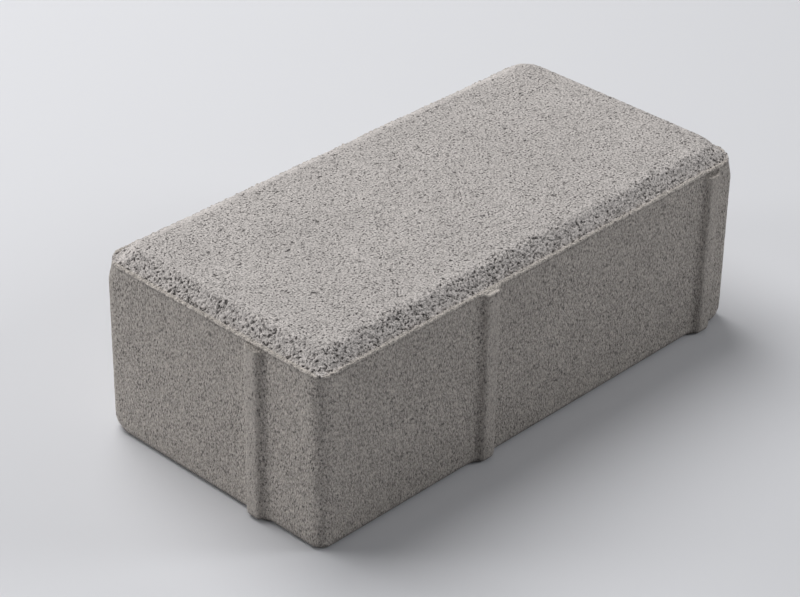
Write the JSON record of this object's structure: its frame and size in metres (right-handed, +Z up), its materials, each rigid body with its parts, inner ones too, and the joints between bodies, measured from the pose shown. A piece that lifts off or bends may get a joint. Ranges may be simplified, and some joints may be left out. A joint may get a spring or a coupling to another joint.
{
  "type": "concrete paving stone",
  "caption": "Rectangular cast concrete paving stone with a chamfered wearing face and upright spacer ribs on one long and one short side, laid on bedding sand for paths, drives and yards.",
  "frame": {"origin": "centre of the bed face, between the body's plain side planes and without the ribs", "axes": "+X along the long side, +Y along the short side, +Z up through the wearing face"},
  "size_m": [0.2025, 0.1025, 0.07],
  "materials": {
    "concrete": "pale grey fine-grained pressed concrete, matt, with open pores on the chamfer"
  },
  "bodies": {
    "root": {"paving_stone": "concrete"}
  },
  "joints": []
}
